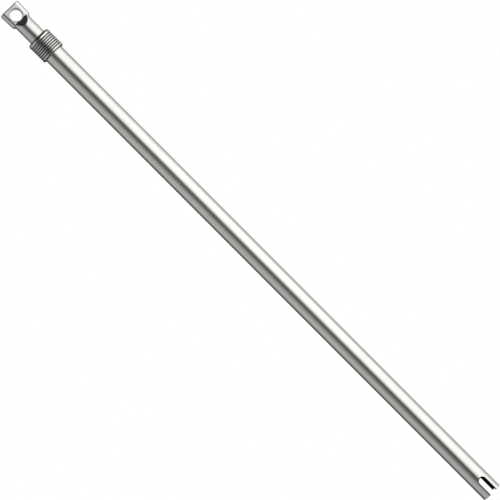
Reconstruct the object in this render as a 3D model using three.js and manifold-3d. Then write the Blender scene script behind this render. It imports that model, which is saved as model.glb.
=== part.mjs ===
// Hollow garden dibber with a push-out plunger, in millimetres.
// The origin is the centre of the tube's mouth. +Z runs up the tool to the eye.
// The mouth's slots and the eye's hole both run along Y.
import * as THREE from "three";
import { mergeVertices } from "three/addons/utils/BufferGeometryUtils.js";
import Module from "manifold-3d";

const wasm = await Module();
wasm.setup();

// Driving dimensions
const OVERALL_LENGTH = 808;
const TUBE_OD = 25.4;
const TUBE_WALL = 1.65;
const TUBE_TOP = 748;
const MOUTH_CHAMFER = 0.4;
const SLOT_WIDTH = 10.4;
const SLOT_DEPTH = 23.6;
const STROKE = 24;
const COLLAR_OD = 31.6;
const COLLAR_BOTTOM = 732.7;
const COLLAR_TOP = 759.4;
const COLLAR_LOWER_ROUND = { axial: 3, radial: 2.2 };
const COLLAR_UPPER_ROUND = { axial: 3.2, radial: 2 };
const COLLAR_LIP_GAP = 0.45;
const RIB_MIDDLE = 745.4;
const RIB_PITCH = 2.87;
const RIB_GROOVES = 7;
const GROOVE_WIDTH = 1.9;
const GROOVE_DEPTH = 1;
const SHANK_D = 21.8;
const SHANK_BOTTOM = 687;
const EYE_WIDTH_TIP = 28.2;
const EYE_WIDTH_NECK = 27;
const EYE_THICKNESS = 12;
const EYE_EDGE_R = 5;
const EYE_HOLE_D = 15;
const EYE_HOLE_Z = 796.2;
const EYE_TIP_R = 1.2;
const SHOULDER_CORNER = { across: 0.8, down: 1.2 };
const SHANK_END_CHAMFER = 1;
const SHOULDER_TOP = 788.4;
const SHOULDER_BOTTOM = 784;
const RUNOUT_TOP = 788.4;
const RUNOUT_BOTTOM = 780.9;
const ROD_SIDE = 9.2;
const GUIDE_BOTTOM = 45.3;
const GUIDE_TOP = 57;
const GUIDE_CHAMFER = 0.6;
const SPRING_TOP = 127;
const SPRING_WIRE_D = 2.2;
const SPRING_MEAN_R = 7.9;
const SPRING_TURNS = 9;
const SPRING_CLOSE_PITCH = 2.4;
const BUSH_TOP = 755.7;
const WIPER_TOP = 758.2;
const FOOT_HEIGHT = 14;
const FOOT_CHAMFER = 0.8;
const FOOT_FLOOR = 4;
const FOOT_PIN_DEPTH = 3;
const SEAL_HEIGHT = 2.6;
const SEAL_ABOVE_FOOT_BOTTOM = 4.5;
const SEAL_INNER_R = 9.1;
const RING_THICKNESS = 1;
const RING_INNER_R = 9.7;
const RING_GROOVE_DEPTH = 0.5;
const CLIP_GROOVE_R = 5.5;
const CLIP_OUTER_R = 9;
const CLIP_OPENING = 1.25;
const CLIP_ABOVE_SPRING = 3.5;
const SNAP_RING_OPENING = 1;
const BUFFER_INNER_R = 6.8;
const BUFFER_OUTER_R = 9.2;
const WIPER_LIP = { lean: 0.7, rise: 0.8, edge: 0.5 };
const SEAL_CORNER = 0.5;
const SOCKET_TOP = 704;
const SHANK_PIN_Z = 695;
const SHANK_PIN_R = 1.7;
const FOOT_SPIGOT_R = 3.5;
const FOOT_PIN_R = 1.4;
const PIN_SHORTER = 1.2;

// Fits
const SLIDE_GAP = 0.1;
const KEY_GAP = 0.2;
const PIN_GAP = 0.2;
const SEAT_GAP = 0.3;
const FOOT_GAP = 0.25;

// Mesh fineness
const ROUND_SIDES = 40;
const PIN_SIDES = 16;
const BORE_SIDES = 24;
const CUT_OVER = 5;

// Worked-out sizes
const TUBE_R = TUBE_OD / 2;
const BORE_R = TUBE_R - TUBE_WALL;
const COLLAR_R = COLLAR_OD / 2;
const SEAT_R = TUBE_R + SLIDE_GAP;
const SHANK_R = SHANK_D / 2;
const BUSH_BOTTOM = TUBE_TOP + 2 * SEAT_GAP;
const WIPER_BOTTOM = BUSH_TOP + SEAT_GAP;
const FOOT_BOTTOM = STROKE + 1;
const FOOT_TOP = FOOT_BOTTOM + FOOT_HEIGHT;
const FOOT_PIN_Z = FOOT_TOP - FOOT_PIN_DEPTH;
const FOOT_SOCKET_BOTTOM = FOOT_BOTTOM + FOOT_FLOOR;
const SEAL_BOTTOM = FOOT_BOTTOM + SEAL_ABOVE_FOOT_BOTTOM;
const SEAL_TOP = SEAL_BOTTOM + SEAL_HEIGHT;
const RING_GROOVE_R = BORE_R + RING_GROOVE_DEPTH;
const LOWER_RING_Z = GUIDE_BOTTOM - SEAT_GAP - RING_THICKNESS / 2;
const UPPER_RING_Z = GUIDE_TOP + SEAT_GAP + RING_THICKNESS / 2;
const SPRING_BOTTOM = GUIDE_TOP + SEAT_GAP;
const CLIP_Z = SPRING_TOP + CLIP_ABOVE_SPRING;

const finishes = {
  tube_steel: { color: 0xc9cbc8, roughness: 0.2, metalness: 1 },
  forged_steel: { color: 0xc4c6c3, roughness: 0.28, metalness: 1 },
  collar_steel: { color: 0xbdbcb9, roughness: 0.3, metalness: 1 },
  inner_steel: { color: 0x8f9192, roughness: 0.4, metalness: 1 },
  spring_steel: { color: 0x6f7276, roughness: 0.35, metalness: 1 },
  black_rubber: { color: 0x1b1c1c, roughness: 0.8, metalness: 0 },
  pale_acetal: { color: 0xd9d6cc, roughness: 0.5, metalness: 0 },
};

function part(name, geometry, finish) {
  const mesh = new THREE.Mesh(geometry, new THREE.MeshStandardMaterial(finishes[finish]));
  mesh.name = name;
  return mesh;
}

// A solid of revolution about Z from a closed outline of [radius, z] points.
function revolve(outline, sides = ROUND_SIDES) {
  const points = outline.map(([r, z]) => new THREE.Vector2(r, z));
  if (THREE.ShapeUtils.area(points) < 0) points.reverse();
  points.push(points[0].clone());
  return new THREE.LatheGeometry(points, sides).rotateX(Math.PI / 2);
}

function ring(innerR, outerR, bottom, top) {
  return revolve([
    [innerR, bottom],
    [outerR, bottom],
    [outerR, top],
    [innerR, top],
  ]);
}

function rod(radius, bottom, top, sides = ROUND_SIDES) {
  return new THREE.CylinderGeometry(radius, radius, top - bottom, sides)
    .rotateX(Math.PI / 2)
    .translate(0, 0, (top + bottom) / 2);
}

// A round pin along X, centred on the tool's axis.
function crossPin(radius, length, z) {
  return new THREE.CylinderGeometry(radius, radius, length, PIN_SIDES)
    .rotateZ(Math.PI / 2)
    .translate(0, 0, z);
}

function bar(side, bottom, top) {
  return new THREE.BoxGeometry(side, side, top - bottom).translate(0, 0, (top + bottom) / 2);
}

// A shape drawn in the XZ plane, extruded along Y about the middle plane.
function alongY(shape, thickness, curveSegments = 12) {
  return new THREE.ExtrudeGeometry(shape, { depth: thickness, bevelEnabled: false, curveSegments })
    .rotateX(Math.PI / 2)
    .translate(0, thickness / 2, 0);
}

function solid(geometry) {
  const bare = geometry.clone();
  bare.deleteAttribute("normal");
  bare.deleteAttribute("uv");
  const merged = mergeVertices(bare, 1e-4);
  return new wasm.Manifold(
    new wasm.Mesh({
      numProp: 3,
      vertProperties: new Float32Array(merged.attributes.position.array),
      triVerts: new Uint32Array(merged.index.array),
    }),
  );
}

function geometryOf(manifold) {
  const mesh = manifold.getMesh();
  return new THREE.BufferGeometry()
    .setAttribute("position", new THREE.BufferAttribute(mesh.vertProperties, 3))
    .setIndex(new THREE.BufferAttribute(mesh.triVerts, 1));
}

// The barrel: a steel tube with a slot through both walls at its mouth, and two ring grooves in its bore.
function barrelTube() {
  const groove = (z) => [
    [BORE_R, z - RING_THICKNESS / 2 - SLIDE_GAP],
    [RING_GROOVE_R, z - RING_THICKNESS / 2 - SLIDE_GAP],
    [RING_GROOVE_R, z + RING_THICKNESS / 2 + SLIDE_GAP],
    [BORE_R, z + RING_THICKNESS / 2 + SLIDE_GAP],
  ];
  const tube = revolve([
    [BORE_R, 0],
    [TUBE_R - MOUTH_CHAMFER, 0],
    [TUBE_R, MOUTH_CHAMFER],
    [TUBE_R, TUBE_TOP],
    [BORE_R, TUBE_TOP],
    ...groove(UPPER_RING_Z).reverse(),
    ...groove(LOWER_RING_Z).reverse(),
  ]);
  const endR = SLOT_WIDTH / 2;
  const slot = new THREE.Shape();
  slot.moveTo(-endR, -TUBE_R);
  slot.lineTo(endR, -TUBE_R);
  slot.lineTo(endR, SLOT_DEPTH - endR);
  slot.absarc(0, SLOT_DEPTH - endR, endR, 0, Math.PI, false);
  return geometryOf(solid(tube).subtract(solid(alongY(slot, 2 * TUBE_OD))));
}

// The collar screws on the tube's top end and holds the bush and the wiper. Ring grooves make its grip.
function collarOutside() {
  const steps = 4;
  const outline = [];
  for (let i = 0; i <= steps; i++) {
    const a = (i / steps) * (Math.PI / 2);
    const r = COLLAR_R - COLLAR_LOWER_ROUND.radial * (1 - Math.sin(a));
    outline.push([r, COLLAR_BOTTOM + COLLAR_LOWER_ROUND.axial * (1 - Math.cos(a))]);
  }
  for (let i = 0; i < RIB_GROOVES; i++) {
    const z = RIB_MIDDLE + (i - (RIB_GROOVES - 1) / 2) * RIB_PITCH;
    outline.push([COLLAR_R, z - GROOVE_WIDTH / 2]);
    outline.push([COLLAR_R - GROOVE_DEPTH, z]);
    outline.push([COLLAR_R, z + GROOVE_WIDTH / 2]);
  }
  for (let i = 0; i <= steps; i++) {
    const a = (i / steps) * (Math.PI / 2);
    const r = COLLAR_R - COLLAR_UPPER_ROUND.radial * (1 - Math.cos(a));
    outline.push([r, COLLAR_TOP - COLLAR_UPPER_ROUND.axial * (1 - Math.sin(a))]);
  }
  return outline;
}

function topCollar() {
  const lipR = SHANK_R + COLLAR_LIP_GAP;
  return revolve([
    ...collarOutside(),
    [lipR, COLLAR_TOP],
    [lipR, WIPER_TOP + SEAT_GAP],
    [SEAT_R, WIPER_TOP + SEAT_GAP],
    [SEAT_R, COLLAR_BOTTOM],
  ]);
}

function guideBush() {
  return ring(SHANK_R + SLIDE_GAP, SEAT_R - SLIDE_GAP, BUSH_BOTTOM, BUSH_TOP);
}

// The wiper's lip leans up and in towards the shank.
function wiperRing() {
  const outerR = SEAT_R - SLIDE_GAP;
  const lipR = SHANK_R + SLIDE_GAP;
  return revolve([
    [lipR + WIPER_LIP.lean, WIPER_BOTTOM],
    [outerR, WIPER_BOTTOM],
    [outerR, WIPER_TOP],
    [outerR - WIPER_LIP.lean, WIPER_TOP],
    [outerR - WIPER_LIP.lean - WIPER_LIP.edge / 2, WIPER_TOP - WIPER_LIP.rise],
    [lipR, WIPER_TOP],
    [lipR, WIPER_TOP - WIPER_LIP.edge],
  ]);
}

// The square bore of the lower guide keeps the plunger from turning.
function lowerGuide() {
  const outerR = BORE_R - SLIDE_GAP;
  const body = revolve([
    [0, GUIDE_BOTTOM],
    [outerR - GUIDE_CHAMFER, GUIDE_BOTTOM],
    [outerR, GUIDE_BOTTOM + GUIDE_CHAMFER],
    [outerR, GUIDE_TOP - GUIDE_CHAMFER],
    [outerR - GUIDE_CHAMFER, GUIDE_TOP],
    [0, GUIDE_TOP],
  ]);
  const bore = bar(ROD_SIDE + 2 * KEY_GAP, GUIDE_BOTTOM - CUT_OVER, GUIDE_TOP + CUT_OVER);
  return geometryOf(solid(body).subtract(solid(bore)));
}

// A C-shaped snap ring, open by the given angle, about Z.
function snapRing(innerR, outerR, z, openAngle) {
  const from = openAngle / 2;
  const to = 2 * Math.PI - openAngle / 2;
  const shape = new THREE.Shape();
  shape.absarc(0, 0, outerR, from, to, false);
  shape.absarc(0, 0, innerR, to, from, true);
  return new THREE.ExtrudeGeometry(shape, {
    depth: RING_THICKNESS,
    bevelEnabled: false,
    curveSegments: ROUND_SIDES / 2,
  }).translate(0, 0, z - RING_THICKNESS / 2);
}

// A compression spring's centre line: one close turn at each end, even pitch between.
class SpringLine extends THREE.Curve {
  getPoint(t, target = new THREE.Vector3()) {
    const turn = t * SPRING_TURNS;
    const first = SPRING_BOTTOM + SPRING_WIRE_D / 2;
    const last = SPRING_TOP - SPRING_WIRE_D / 2;
    const openPitch = (last - first - 2 * SPRING_CLOSE_PITCH) / (SPRING_TURNS - 2);
    const openTurns = THREE.MathUtils.clamp(turn - 1, 0, SPRING_TURNS - 2);
    const z = first + SPRING_CLOSE_PITCH * (turn - openTurns) + openPitch * openTurns;
    const angle = turn * 2 * Math.PI;
    return target.set(SPRING_MEAN_R * Math.cos(angle), SPRING_MEAN_R * Math.sin(angle), z);
  }
}

function returnSpring() {
  const wire = new THREE.Shape();
  wire.absarc(0, 0, SPRING_WIRE_D / 2, 0, 2 * Math.PI, false);
  return new THREE.ExtrudeGeometry(wire, {
    steps: SPRING_TURNS * 14,
    curveSegments: 3,
    extrudePath: new SpringLine(),
  });
}

// The shank's forged eye: a flat with round edges, a cross hole, and a 30 degree run-out to the round.
function eyeShank() {
  const shank = revolve([
    [0, SHANK_BOTTOM],
    [SHANK_R - SHANK_END_CHAMFER, SHANK_BOTTOM],
    [SHANK_R, SHANK_BOTTOM + SHANK_END_CHAMFER],
    [SHANK_R, SHOULDER_TOP],
    [0, SHOULDER_TOP],
  ]);
  const section = new THREE.Shape();
  const arcX = EYE_WIDTH_TIP / 2 - EYE_EDGE_R;
  const arcY = EYE_THICKNESS / 2 - EYE_EDGE_R;
  section.absarc(arcX, arcY, EYE_EDGE_R, 0, Math.PI / 2, false);
  section.absarc(-arcX, arcY, EYE_EDGE_R, Math.PI / 2, Math.PI, false);
  section.absarc(-arcX, -arcY, EYE_EDGE_R, Math.PI, 1.5 * Math.PI, false);
  section.absarc(arcX, -arcY, EYE_EDGE_R, 1.5 * Math.PI, 2 * Math.PI, false);
  const flat = new THREE.ExtrudeGeometry(section, {
    depth: OVERALL_LENGTH - SHOULDER_BOTTOM,
    bevelEnabled: false,
    curveSegments: 6,
  }).translate(0, 0, SHOULDER_BOTTOM);

  const tipX = EYE_WIDTH_TIP / 2;
  const neckX = EYE_WIDTH_NECK / 2;
  const cornerX = neckX - SHOULDER_CORNER.across;
  const cornerZ = SHOULDER_TOP - SHOULDER_CORNER.down;
  const outline = new THREE.Shape([
    new THREE.Vector2(SHANK_R - SEAT_GAP, SHOULDER_BOTTOM),
    new THREE.Vector2(cornerX, cornerZ),
    new THREE.Vector2(neckX, SHOULDER_TOP),
    new THREE.Vector2(tipX, OVERALL_LENGTH - EYE_TIP_R),
    new THREE.Vector2(tipX - EYE_TIP_R, OVERALL_LENGTH),
    new THREE.Vector2(-tipX + EYE_TIP_R, OVERALL_LENGTH),
    new THREE.Vector2(-tipX, OVERALL_LENGTH - EYE_TIP_R),
    new THREE.Vector2(-neckX, SHOULDER_TOP),
    new THREE.Vector2(-cornerX, cornerZ),
    new THREE.Vector2(-SHANK_R + SEAT_GAP, SHOULDER_BOTTOM),
  ]);

  // The flats and their run-outs, seen from the side: a shape in YZ, extruded along X.
  const flatY = EYE_THICKNESS / 2;
  const clearY = SHANK_R + CUT_OVER;
  const slope = (RUNOUT_TOP - RUNOUT_BOTTOM) / (SHANK_R - flatY);
  const clearZ = RUNOUT_BOTTOM - CUT_OVER * slope;
  const flats = new THREE.Shape([
    new THREE.Vector2(-clearY, SHANK_BOTTOM - CUT_OVER),
    new THREE.Vector2(clearY, SHANK_BOTTOM - CUT_OVER),
    new THREE.Vector2(clearY, clearZ),
    new THREE.Vector2(flatY, RUNOUT_TOP),
    new THREE.Vector2(flatY, OVERALL_LENGTH),
    new THREE.Vector2(-flatY, OVERALL_LENGTH),
    new THREE.Vector2(-flatY, RUNOUT_TOP),
    new THREE.Vector2(-clearY, clearZ),
  ]);
  const sideView = alongY(flats, 2 * TUBE_OD).rotateZ(Math.PI / 2);

  const hole = rod(EYE_HOLE_D / 2, -TUBE_OD, TUBE_OD)
    .rotateX(Math.PI / 2)
    .translate(0, 0, EYE_HOLE_Z);
  const socket = rod(ROD_SIDE / 2 + PIN_GAP, SHANK_BOTTOM - CUT_OVER, SOCKET_TOP, BORE_SIDES);
  const pinHole = crossPin(SHANK_PIN_R + PIN_GAP, 2 * TUBE_OD, SHANK_PIN_Z);
  const head = solid(flat).intersect(solid(alongY(outline, 2 * TUBE_OD)));
  return geometryOf(
    solid(shank)
      .intersect(solid(sideView))
      .add(head)
      .subtract(solid(hole))
      .subtract(solid(socket))
      .subtract(solid(pinHole)),
  );
}

// The square push rod, with a round spigot at each end and a corner groove for its clip.
function pushRod() {
  const squareTop = SHANK_BOTTOM - SEAT_GAP;
  const squareBottom = FOOT_TOP + SEAT_GAP;
  const square = solid(bar(ROD_SIDE, squareBottom, squareTop));
  const grooveHalf = RING_THICKNESS / 2 + SLIDE_GAP;
  const groove = ring(CLIP_GROOVE_R, ROD_SIDE, CLIP_Z - grooveHalf, CLIP_Z + grooveHalf);
  const topSpigot = rod(ROD_SIDE / 2, squareTop - CUT_OVER, SOCKET_TOP - SEAT_GAP, BORE_SIDES);
  const footSpigot = rod(FOOT_SPIGOT_R, FOOT_SOCKET_BOTTOM + SEAT_GAP, squareBottom + CUT_OVER, BORE_SIDES);
  return geometryOf(
    square
      .subtract(solid(groove))
      .add(solid(topSpigot))
      .add(solid(footSpigot))
      .subtract(solid(crossPin(SHANK_PIN_R + PIN_GAP, TUBE_OD, SHANK_PIN_Z)))
      .subtract(solid(crossPin(FOOT_PIN_R + PIN_GAP, TUBE_OD, FOOT_PIN_Z))),
  );
}

function springWasher() {
  const bottom = SPRING_TOP + KEY_GAP;
  const disc = rod(BORE_R - 0.5, bottom, CLIP_Z - RING_THICKNESS / 2 - SEAT_GAP);
  const bore = bar(ROD_SIDE + 2 * KEY_GAP, bottom - CUT_OVER, CLIP_Z);
  return geometryOf(solid(disc).subtract(solid(bore)));
}

function guideRing(z) {
  return snapRing(RING_INNER_R, RING_GROOVE_R - SLIDE_GAP, z, SNAP_RING_OPENING);
}

function rodClip() {
  return snapRing(CLIP_GROOVE_R + SLIDE_GAP, CLIP_OUTER_R, CLIP_Z, CLIP_OPENING);
}

function stopBuffer() {
  return ring(BUFFER_INNER_R, BUFFER_OUTER_R, FOOT_TOP + SEAT_GAP, GUIDE_BOTTOM - SEAT_GAP);
}

// The foot fills the bore and pushes the soil plug out through the mouth.
function ejectorFoot() {
  const outerR = BORE_R - FOOT_GAP;
  const body = revolve([
    [0, FOOT_BOTTOM],
    [outerR - FOOT_CHAMFER, FOOT_BOTTOM],
    [outerR, FOOT_BOTTOM + FOOT_CHAMFER],
    [outerR, SEAL_BOTTOM - SLIDE_GAP],
    [SEAL_INNER_R - SLIDE_GAP, SEAL_BOTTOM - SLIDE_GAP],
    [SEAL_INNER_R - SLIDE_GAP, SEAL_TOP + SLIDE_GAP],
    [outerR, SEAL_TOP + SLIDE_GAP],
    [outerR, FOOT_TOP - FOOT_CHAMFER],
    [outerR - FOOT_CHAMFER, FOOT_TOP],
    [0, FOOT_TOP],
  ]);
  const socket = rod(FOOT_SPIGOT_R + PIN_GAP, FOOT_SOCKET_BOTTOM, FOOT_TOP + CUT_OVER, BORE_SIDES);
  const pinHole = crossPin(FOOT_PIN_R + PIN_GAP, TUBE_OD, FOOT_PIN_Z);
  return geometryOf(solid(body).subtract(solid(socket)).subtract(solid(pinHole)));
}

function footSeal() {
  const outerR = BORE_R - SLIDE_GAP;
  return revolve([
    [SEAL_INNER_R, SEAL_BOTTOM + SEAL_CORNER],
    [SEAL_INNER_R + SEAL_CORNER, SEAL_BOTTOM],
    [outerR - SEAL_CORNER, SEAL_BOTTOM],
    [outerR, SEAL_BOTTOM + SEAL_CORNER],
    [outerR, SEAL_TOP - SEAL_CORNER],
    [outerR - SEAL_CORNER, SEAL_TOP],
    [SEAL_INNER_R + SEAL_CORNER, SEAL_TOP],
    [SEAL_INNER_R, SEAL_TOP - SEAL_CORNER],
  ]);
}

const barrel = new THREE.Group();
barrel.add(
  part("barrel_tube", barrelTube(), "tube_steel"),
  part("top_collar", topCollar(), "collar_steel"),
  part("guide_bush", guideBush(), "pale_acetal"),
  part("wiper_ring", wiperRing(), "black_rubber"),
  part("lower_guide", lowerGuide(), "pale_acetal"),
  part("guide_ring_lower", guideRing(LOWER_RING_Z), "spring_steel"),
  part("guide_ring_upper", guideRing(UPPER_RING_Z), "spring_steel"),
  part("return_spring", returnSpring(), "spring_steel"),
);

const plunger = new THREE.Group();
plunger.add(
  part("eye_shank", eyeShank(), "forged_steel"),
  part("shank_pin", crossPin(SHANK_PIN_R, SHANK_D - PIN_SHORTER, SHANK_PIN_Z), "inner_steel"),
  part("push_rod", pushRod(), "inner_steel"),
  part("spring_washer", springWasher(), "inner_steel"),
  part("rod_clip", rodClip(), "spring_steel"),
  part("stop_buffer", stopBuffer(), "black_rubber"),
  part("ejector_foot", ejectorFoot(), "inner_steel"),
  part("foot_seal", footSeal(), "black_rubber"),
  part("foot_pin", crossPin(FOOT_PIN_R, 2 * BORE_R - PIN_SHORTER, FOOT_PIN_Z), "inner_steel"),
);

const dibber = new THREE.Group();
dibber.add(barrel, plunger);

export default dibber;
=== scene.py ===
import math

import bmesh
import bpy
from mathutils import Matrix, Vector


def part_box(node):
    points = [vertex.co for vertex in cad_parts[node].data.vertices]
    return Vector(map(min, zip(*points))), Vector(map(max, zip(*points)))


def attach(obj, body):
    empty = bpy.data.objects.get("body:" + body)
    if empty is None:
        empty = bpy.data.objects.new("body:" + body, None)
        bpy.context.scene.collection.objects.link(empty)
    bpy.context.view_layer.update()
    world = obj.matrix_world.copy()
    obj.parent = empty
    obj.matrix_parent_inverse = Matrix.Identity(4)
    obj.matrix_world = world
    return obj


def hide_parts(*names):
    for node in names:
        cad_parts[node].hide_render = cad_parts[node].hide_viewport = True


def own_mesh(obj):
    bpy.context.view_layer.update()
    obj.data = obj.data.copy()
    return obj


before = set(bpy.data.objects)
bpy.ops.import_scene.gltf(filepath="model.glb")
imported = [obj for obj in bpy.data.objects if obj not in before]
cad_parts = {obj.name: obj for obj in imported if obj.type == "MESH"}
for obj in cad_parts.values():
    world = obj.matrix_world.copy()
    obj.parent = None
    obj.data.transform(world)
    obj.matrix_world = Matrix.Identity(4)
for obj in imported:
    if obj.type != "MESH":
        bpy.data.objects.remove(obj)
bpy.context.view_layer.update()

MM = 0.001

# ---------------------------------------------------------------- sizes, in millimetres

def box_mm(node):
    """The lowest and highest corners of a CAD node."""
    low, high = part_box(node)
    return low / MM, high / MM


TUBE_HIGH = box_mm("barrel_tube")[1]
COLLAR_LOW, COLLAR_HIGH = box_mm("top_collar")
BUSH_LOW, BUSH_HIGH = box_mm("guide_bush")
WIPER_LOW, WIPER_HIGH = box_mm("wiper_ring")
GUIDE_LOW, GUIDE_HIGH = box_mm("lower_guide")
SPRING_LOW, SPRING_HIGH = box_mm("return_spring")
EYE_LOW, EYE_HIGH = box_mm("eye_shank")
SHANK_PIN_LOW, SHANK_PIN_HIGH = box_mm("shank_pin")
ROD_LOW, ROD_HIGH = box_mm("push_rod")
WASHER_LOW, WASHER_HIGH = box_mm("spring_washer")
CLIP_LOW, CLIP_HIGH = box_mm("rod_clip")
BUFFER_LOW, BUFFER_HIGH = box_mm("stop_buffer")
FOOT_LOW, FOOT_HIGH = box_mm("ejector_foot")
SEAL_LOW, SEAL_HIGH = box_mm("foot_seal")
FOOT_PIN_LOW, FOOT_PIN_HIGH = box_mm("foot_pin")

# The tube and the collar. SLOT_ARC_Z is where the slot's round top starts, and SLOT_TAPER is the slot's width
# at the bore as a share of its width outside
TUBE_R = TUBE_HIGH.x
TUBE_WALL = 1.65
TUBE_TOP = TUBE_HIGH.z
TUBE_COLUMNS = 28
BORE_R = TUBE_R - TUBE_WALL
RING_GROOVE_R = BORE_R + 0.5
SLOT_HALF = 5.2
SLOT_DEPTH = 23.6
SLOT_ARC_Z = SLOT_DEPTH - SLOT_HALF
SLOT_TAPER = 0.83
COLLAR_R = COLLAR_HIGH.x
SHANK_R = EYE_HIGH.y
RIB_MIDDLE = 745.4
RIB_PITCH = 2.87
RIB_GROOVES = 7

# The eye, whose heights are measured down from its tip. EYE_SIDE is how deep its rounded sides are. The
# shoulder is where it narrows to the shank, and the run-out is where its flats slope out to the shank
EYE_TOP = EYE_HIGH.z
EYE_HALF_TIP = EYE_HIGH.x
EYE_HALF_NECK = 13.5
EYE_HALF_THICK = 6.0
EYE_SIDE = 5.2
EYE_HOLE_R = 7.5
EYE_HOLE_Z = EYE_TOP - 11.8
EYE_HOLE_ROUND = 0.8
SHOULDER_TOP = EYE_TOP - 19.6
SHOULDER_BOTTOM = EYE_TOP - 24.0
RUNOUT_TOP = EYE_TOP - 18.8
RUNOUT_BOTTOM = EYE_TOP - 27.3
RUNOUT_CURVE = 0.015

# The push rod, and the snap rings: inner radius, outer radius and opening in degrees
ROD_HALF = ROD_HIGH.x
ROD_CORNER_R = 0.7
FOOT_SPIGOT_R = 3.5
CLIP_GROOVE_R = 5.5
GUIDE_RING = (9.7, 11.45, 57)
ROD_CLIP = (5.6, 9.0, 72)

# The gaps round sliding and seated pieces, round bars in their bores, and past the ends of pieces
FIT_GAP = 0.1
BORE_GAP = 0.2
END_GAP = 0.3

# How far most cutters go on past the piece they cut
CUT_PAST = 3

ROUND_SIDES = 128
SMALL_SIDES = 96
CUTTER_SIDES = 64
PIN_SIDES = 48
SMOOTH_DEG = 35


# ---------------------------------------------------------------- mesh helpers

def link_object(name, data):
    """A new object in the scene."""
    obj = bpy.data.objects.new(name, data)
    bpy.context.scene.collection.objects.link(obj)
    return obj


def mesh_object(name, bm, sharp_deg=SMOOTH_DEG):
    """A bmesh in millimetres becomes an object in metres, smooth but for edges sharper than sharp_deg."""
    bmesh.ops.remove_doubles(bm, verts=bm.verts, dist=1e-5)
    bmesh.ops.recalc_face_normals(bm, faces=bm.faces)
    bmesh.ops.scale(bm, vec=(MM, MM, MM), verts=bm.verts)
    mesh = bpy.data.meshes.new(name)
    bm.to_mesh(mesh)
    bm.free()
    mesh.shade_smooth()
    mesh.set_sharp_from_angle(angle=math.radians(sharp_deg))
    return link_object(name, mesh)


def fillet(outline, steps=4):
    """Rounds a closed outline of (r, z, radius) corners and returns its (r, z) points."""
    points = []
    count = len(outline)
    for i, (r, z, radius) in enumerate(outline):
        if radius <= 0:
            points.append((r, z))
            continue
        here = Vector((r, z))
        before = (Vector(outline[i - 1][:2]) - here).normalized()
        after = (Vector(outline[(i + 1) % count][:2]) - here).normalized()
        half = before.angle(after) / 2
        start = here + before * (radius / math.tan(half))
        end = here + after * (radius / math.tan(half))
        centre = here + (before + after).normalized() * (radius / math.sin(half))
        a = start - centre
        b = end - centre
        turn = math.atan2(a.x * b.y - a.y * b.x, a.dot(b))
        for k in range(steps + 1):
            angle = turn * k / steps
            spun = Vector((a.x * math.cos(angle) - a.y * math.sin(angle),
                           a.x * math.sin(angle) + a.y * math.cos(angle)))
            points.append(tuple(centre + spun))
    return points


def revolve(bm, outline, sides):
    """Adds a closed (r, z) outline turned about Z."""
    rings = []
    for r, z in outline:
        ring = []
        for i in range(sides):
            a = 2 * math.pi * i / sides
            ring.append(bm.verts.new((r * math.cos(a), r * math.sin(a), z)))
        rings.append(ring)
    for k, ring in enumerate(rings):
        above = rings[(k + 1) % len(rings)]
        for i in range(sides):
            j = (i + 1) % sides
            bm.faces.new((ring[i], ring[j], above[j], above[i]))


def revolved(name, outline):
    """A round object from its (r, z, corner radius) outline."""
    bm = bmesh.new()
    revolve(bm, fillet(outline), SMALL_SIDES)
    return mesh_object(name, bm)


def loft(bm, rings):
    """Joins rings of points, each as long as the others, and caps the ends."""
    made = [[bm.verts.new(p) for p in ring] for ring in rings]
    count = len(made[0])
    for low, high in zip(made, made[1:]):
        for i in range(count):
            j = (i + 1) % count
            bm.faces.new((low[i], low[j], high[j], high[i]))
    bm.faces.new(list(reversed(made[0])))
    bm.faces.new(made[-1])


def settle(obj):
    """Applies obj's modifiers to its mesh."""
    graph = bpy.context.evaluated_depsgraph_get()
    mesh = bpy.data.meshes.new_from_object(obj.evaluated_get(graph))
    obj.modifiers.clear()
    obj.data = mesh


def cut(obj, *cutters):
    """Cuts the cutters out of obj, and removes them."""
    for cutter in cutters:
        modifier = obj.modifiers.new("cut", "BOOLEAN")
        modifier.operation = "DIFFERENCE"
        modifier.solver = "EXACT"
        modifier.object = cutter
    settle(obj)
    for cutter in cutters:
        bpy.data.objects.remove(cutter)
    obj.data.shade_smooth()
    obj.data.set_sharp_from_angle(angle=math.radians(SMOOTH_DEG))
    return obj


def round_edges(obj, width_mm):
    """Rounds obj's sharp edges."""
    bevel = obj.modifiers.new("edges", "BEVEL")
    bevel.width = width_mm * MM
    bevel.segments = 3
    bevel.limit_method = "ANGLE"
    bevel.angle_limit = math.radians(50)
    bevel.harden_normals = True
    settle(obj)
    return obj


def arc(steps, start_deg=0, end_deg=90):
    """Angles in radians from start to end."""
    return [math.radians(start_deg + (end_deg - start_deg) * i / steps) for i in range(steps + 1)]


def mix(a, b, t):
    """a where t is 0, b where t is 1."""
    return a + (b - a) * t


def smoothstep(low, high, value):
    """0 below low, 1 above high, and a smooth step between them."""
    t = min(1.0, max(0.0, (value - low) / (high - low)))
    return t * t * (3 - 2 * t)


def soft_min(a, b, k):
    """The smaller of a and b, rounded where they differ by less than k."""
    h = min(1.0, max(0.0, 0.5 + 0.5 * (b - a) / k))
    return mix(b, a, h) - k * h * (1 - h)


def rounded_square_reach(c, s, half, radius):
    """How far a ray along (c, s) goes from the middle of a rounded square to its edge."""
    c, s = abs(c), abs(s)
    core = half - radius
    if half * min(c, s) / max(c, s) <= core:
        return half / max(c, s)
    along = core * (c + s)
    across = core * (c - s)
    return along + math.sqrt(max(0.0, radius * radius - across * across))


def polar_ring(reach, z, columns):
    """Points about Z at height z, as far out as reach(cos, sin) says."""
    points = []
    for i in range(columns):
        a = 2 * math.pi * i / columns
        r = reach(math.cos(a), math.sin(a))
        points.append((r * math.cos(a), r * math.sin(a), z))
    return points


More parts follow.
